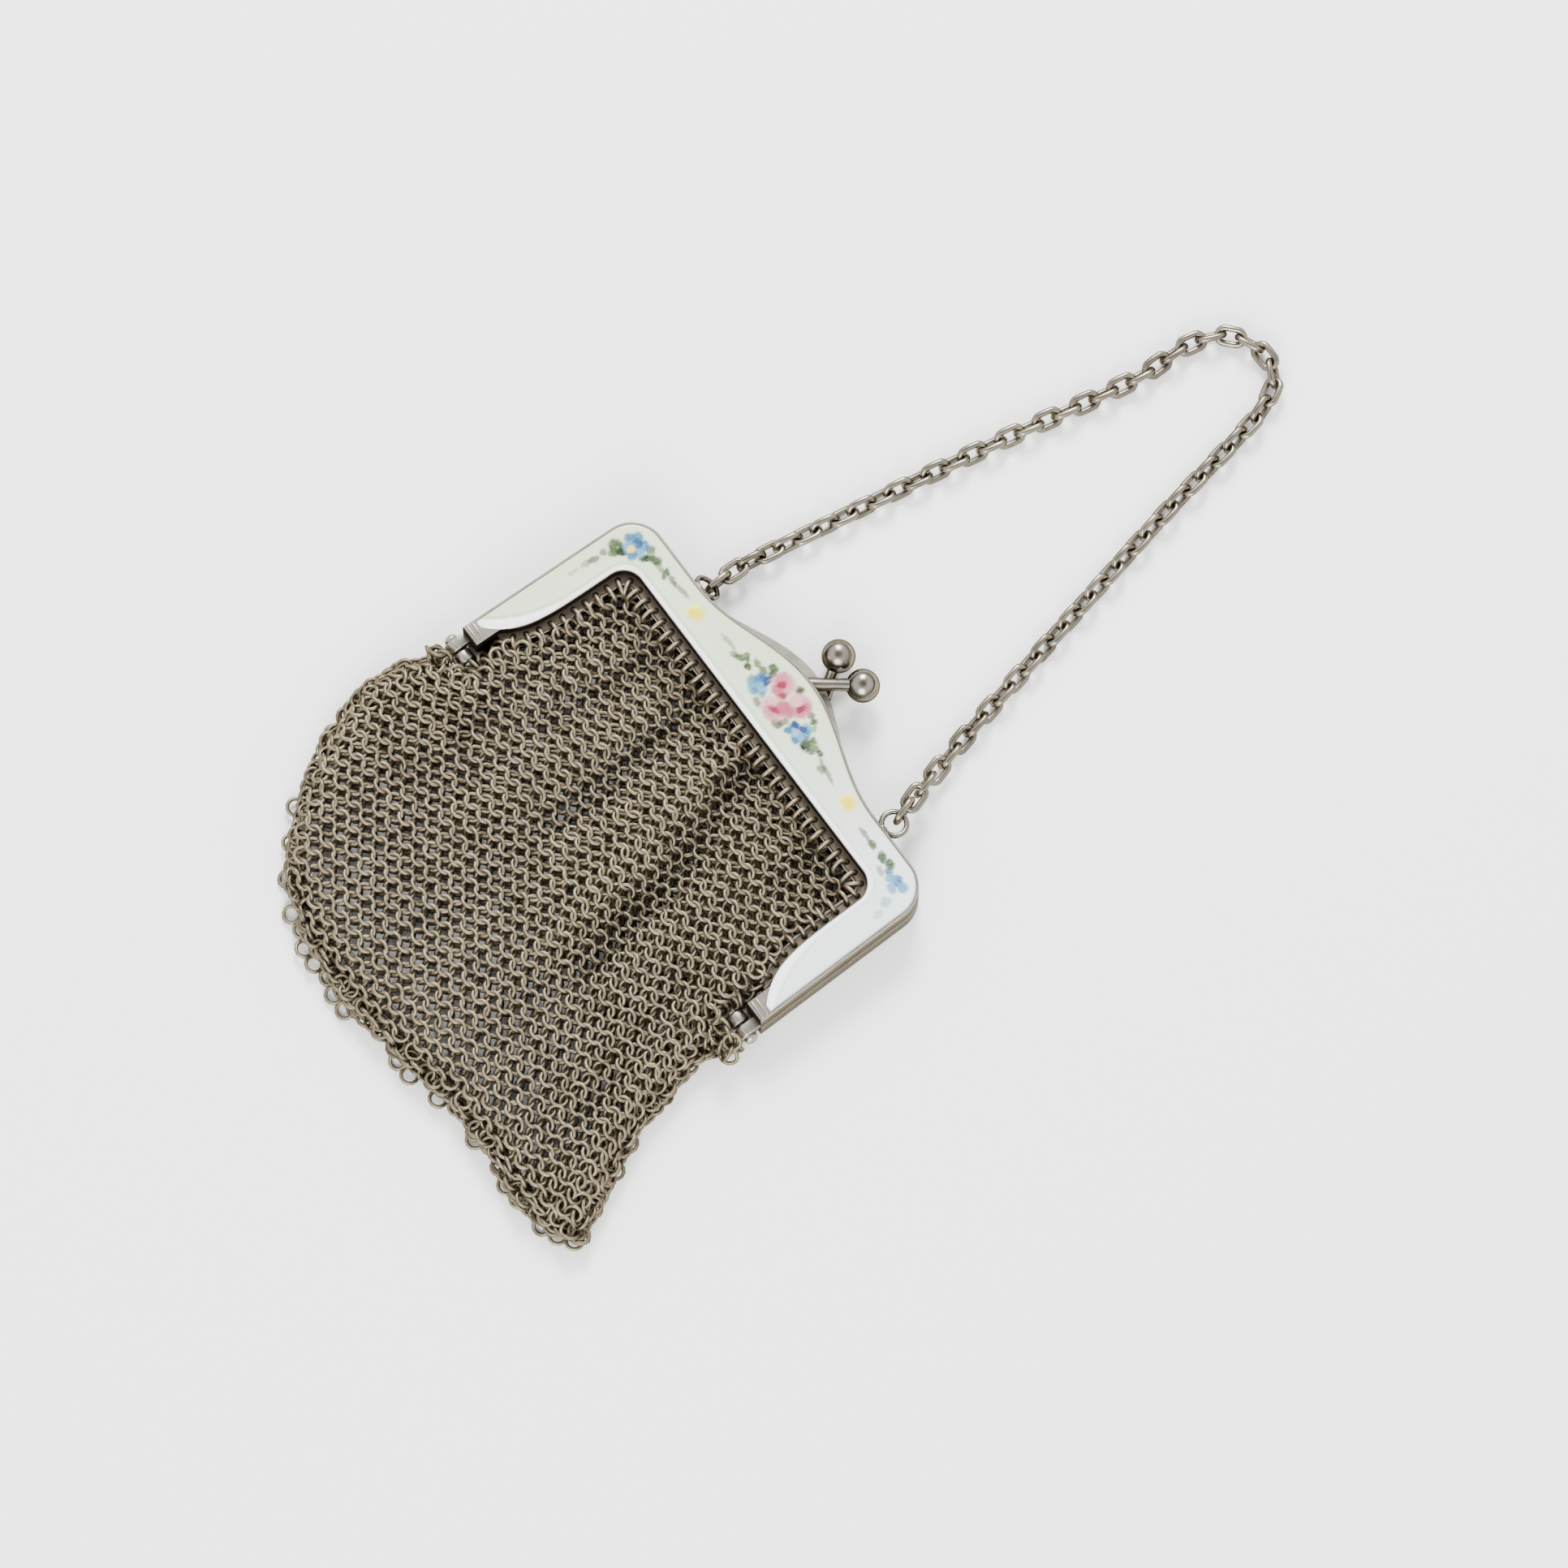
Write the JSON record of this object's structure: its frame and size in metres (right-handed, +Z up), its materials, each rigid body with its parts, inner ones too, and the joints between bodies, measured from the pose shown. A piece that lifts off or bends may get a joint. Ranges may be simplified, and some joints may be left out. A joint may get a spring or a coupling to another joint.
{
  "type": "mesh coin purse",
  "caption": "Metal ring-mesh coin purse with an arched snap frame, enamelled front band, ball clasp and wrist chain, lying flat and closed.",
  "frame": {"origin": "on the back plate's outer face, at the middle of the top rail; the purse lies on its back", "axes": "+X along the top rail, +Y from the bag's hem towards the clasp and the chain, +Z up off the surface, out of the enamelled front"},
  "size_m": [0.0841, 0.1634, 0.0076],
  "materials": {
    "frame_metal": "polished silver, lightly tarnished",
    "enamel": "fired glass enamel, glossy, pale mint with a painted flower garland",
    "ring_mesh": "tarnished silver rings, dark in the gaps",
    "chain_metal": "tarnished silver, bright on the high spots"
  },
  "bodies": {
    "root": {"front_frame": "frame_metal", "back_frame": "frame_metal", "hinge_pin_right": "frame_metal", "hinge_pin_left": "frame_metal", "front_enamel": "enamel", "mesh_bag": "ring_mesh", "wrist_chain": "chain_metal"}
  },
  "joints": []
}
